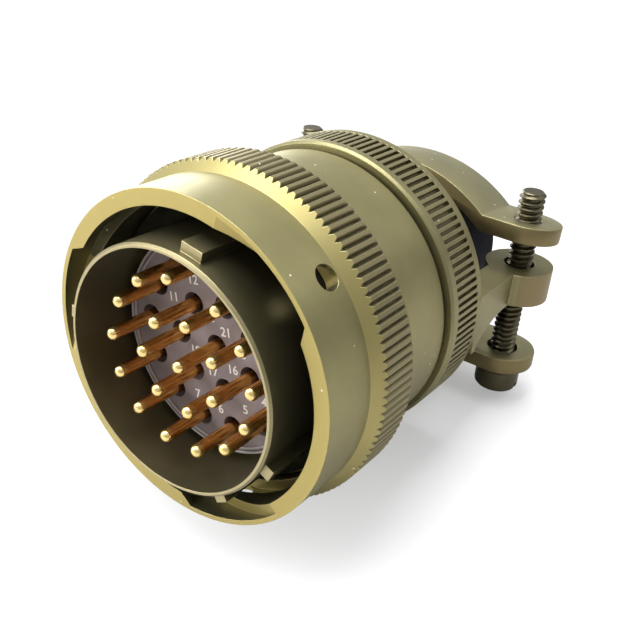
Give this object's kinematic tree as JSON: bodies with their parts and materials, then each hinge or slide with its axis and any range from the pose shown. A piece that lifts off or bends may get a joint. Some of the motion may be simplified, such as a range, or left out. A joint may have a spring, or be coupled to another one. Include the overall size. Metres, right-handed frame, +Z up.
{
  "type": "aviation plug connector",
  "caption": "Circular multi-contact plug with a bayonet coupling ring, keyed barrel, male contacts in a hard insert, threaded rear sleeve and a two-saddle cable clamp.",
  "frame": {"origin": "centre of the barrel's mating rim, on the connector's axis", "axes": "+Z up as the plug lies on a flat surface on its coupling ring and screw heads; +Y runs from the mating rim to the cable clamp, 7.7 degrees above the connector's own axis; +X is the side of the near clamp screw"},
  "size_m": [0.0454, 0.0607, 0.0434],
  "materials": {
    "olive_plating": "satin olive drab plating on machined aluminium, worn paler on edges",
    "contact_gold": "gold plated copper alloy, worn bright at the noses",
    "dark_steel": "dark bronze tinted steel, worn on the crests",
    "spring_steel": "bright spring steel",
    "insert_plastic": "moulded grey insulator",
    "seal_rubber": "matt dark rubber"
  },
  "bodies": {
    "shell": {"plug_shell": "olive_plating", "face_gasket": "seal_rubber", "wave_washer": "spring_steel", "retaining_ring": "spring_steel", "contact_insert": "insert_plastic", "contact_a": "contact_gold", "contact_b": "contact_gold", "contact_c": "contact_gold", "contact_d": "contact_gold", "contact_e": "contact_gold", "contact_f": "contact_gold", "contact_g": "contact_gold", "contact_h": "contact_gold", "contact_j": "contact_gold", "contact_k": "contact_gold", "contact_l": "contact_gold", "contact_m": "contact_gold", "contact_n": "contact_gold", "contact_p": "contact_gold", "contact_r": "contact_gold", "contact_s": "contact_gold", "contact_t": "contact_gold", "contact_u": "contact_gold", "contact_v": "contact_gold", "contact_w": "contact_gold", "contact_x": "contact_gold", "wire_grommet": "seal_rubber", "grommet_follower": "insert_plastic", "rear_sleeve": "olive_plating", "clamp_body": "olive_plating", "cable_bushing": "seal_rubber"},
    "thrust_washer": {"thrust_washer": "spring_steel"},
    "coupling_ring": {"coupling_ring": "olive_plating"},
    "lower_saddle": {"lower_saddle": "olive_plating", "lock_washer_near": "dark_steel", "lock_washer_far": "dark_steel"},
    "upper_saddle": {"upper_saddle": "olive_plating"},
    "clamp_screw_near": {"clamp_screw_near": "dark_steel"},
    "clamp_screw_far": {"clamp_screw_far": "dark_steel"}
  },
  "joints": [
    {"name": "ring_float", "type": "slide", "parent": "shell", "child": "thrust_washer", "axis": [0, -0.991, 0.1341], "range_m": [0, 0.0005], "stiffness_N_per_m": 8000, "springref_m": -0.001, "deforming": ["wave_washer"]},
    {"name": "ring_turn", "type": "hinge", "parent": "thrust_washer", "child": "coupling_ring", "pos_m": [0, 0.00991, -0.00134], "axis": [0, -0.991, 0.1341], "continuous": true},
    {"name": "lower_saddle_travel", "type": "slide", "parent": "shell", "child": "lower_saddle", "axis": [0, 0.1341, 0.991], "range_m": [-0.0016, 0.0032], "deforming": ["cable_bushing"]},
    {"name": "upper_saddle_travel", "type": "slide", "parent": "shell", "child": "upper_saddle", "axis": [0, -0.1341, -0.991], "range_m": [-0.0016, 0.0032]},
    {"name": "near_screw_turn", "type": "hinge", "parent": "lower_saddle", "child": "clamp_screw_near", "pos_m": [0.0181, 0.04915, -0.00665], "axis": [0, 0.1341, 0.991], "range_deg": [-1440, 2880]},
    {"name": "far_screw_turn", "type": "hinge", "parent": "lower_saddle", "child": "clamp_screw_far", "pos_m": [-0.0181, 0.04915, -0.00665], "axis": [0, 0.1341, 0.991], "range_deg": [-1440, 2880]}
  ],
  "couplings": [
    {"joint": "upper_saddle_travel", "follows": "lower_saddle_travel", "ratio": 1},
    {"joint": "near_screw_turn", "follows": "lower_saddle_travel", "rad_per_m": 15706},
    {"joint": "far_screw_turn", "follows": "lower_saddle_travel", "rad_per_m": 15706}
  ]
}
